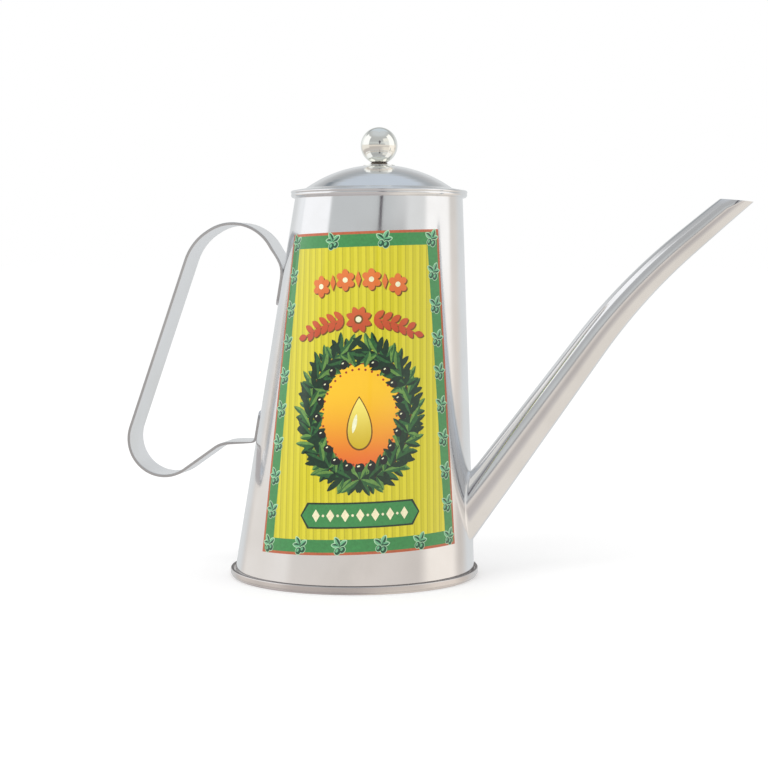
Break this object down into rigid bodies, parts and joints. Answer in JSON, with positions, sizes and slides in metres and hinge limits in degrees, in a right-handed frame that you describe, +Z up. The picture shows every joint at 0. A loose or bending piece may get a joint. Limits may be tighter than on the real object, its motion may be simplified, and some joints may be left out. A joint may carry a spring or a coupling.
{
  "type": "olive oil can with spout",
  "caption": "Conical lidded steel oil can with a long bent pouring spout, a strap handle and a printed front label.",
  "frame": {"origin": "centre of the base seam's circle, on the surface that the can stands on", "axes": "+Z up, +X toward the spout, -X toward the handle, -Y toward the printed front"},
  "size_m": [0.2701, 0.108, 0.1937],
  "materials": {
    "polished_steel": "polished stainless sheet, soft mirror",
    "satin_steel": "stainless strap and seam, fine satin",
    "bright_knob": "mirror polished steel",
    "label_print": "glossy printed label, yellow ground and green border",
    "screw_steel": "plain bright screw"
  },
  "bodies": {
    "can": {"body_shell": "polished_steel", "base_plate": "satin_steel", "spout": "polished_steel", "handle_strap": "satin_steel", "front_label": "label_print"},
    "lid": {"lid_shell": "polished_steel", "lid_skirt": "satin_steel", "knob_collar": "bright_knob", "knob_ball": "bright_knob", "knob_washer": "screw_steel", "knob_screw": "screw_steel"}
  },
  "joints": [
    {"name": "lid_lift", "type": "slide", "parent": "can", "child": "lid", "axis": [0, 0, 1], "range_m": [0, 0.06]}
  ]
}
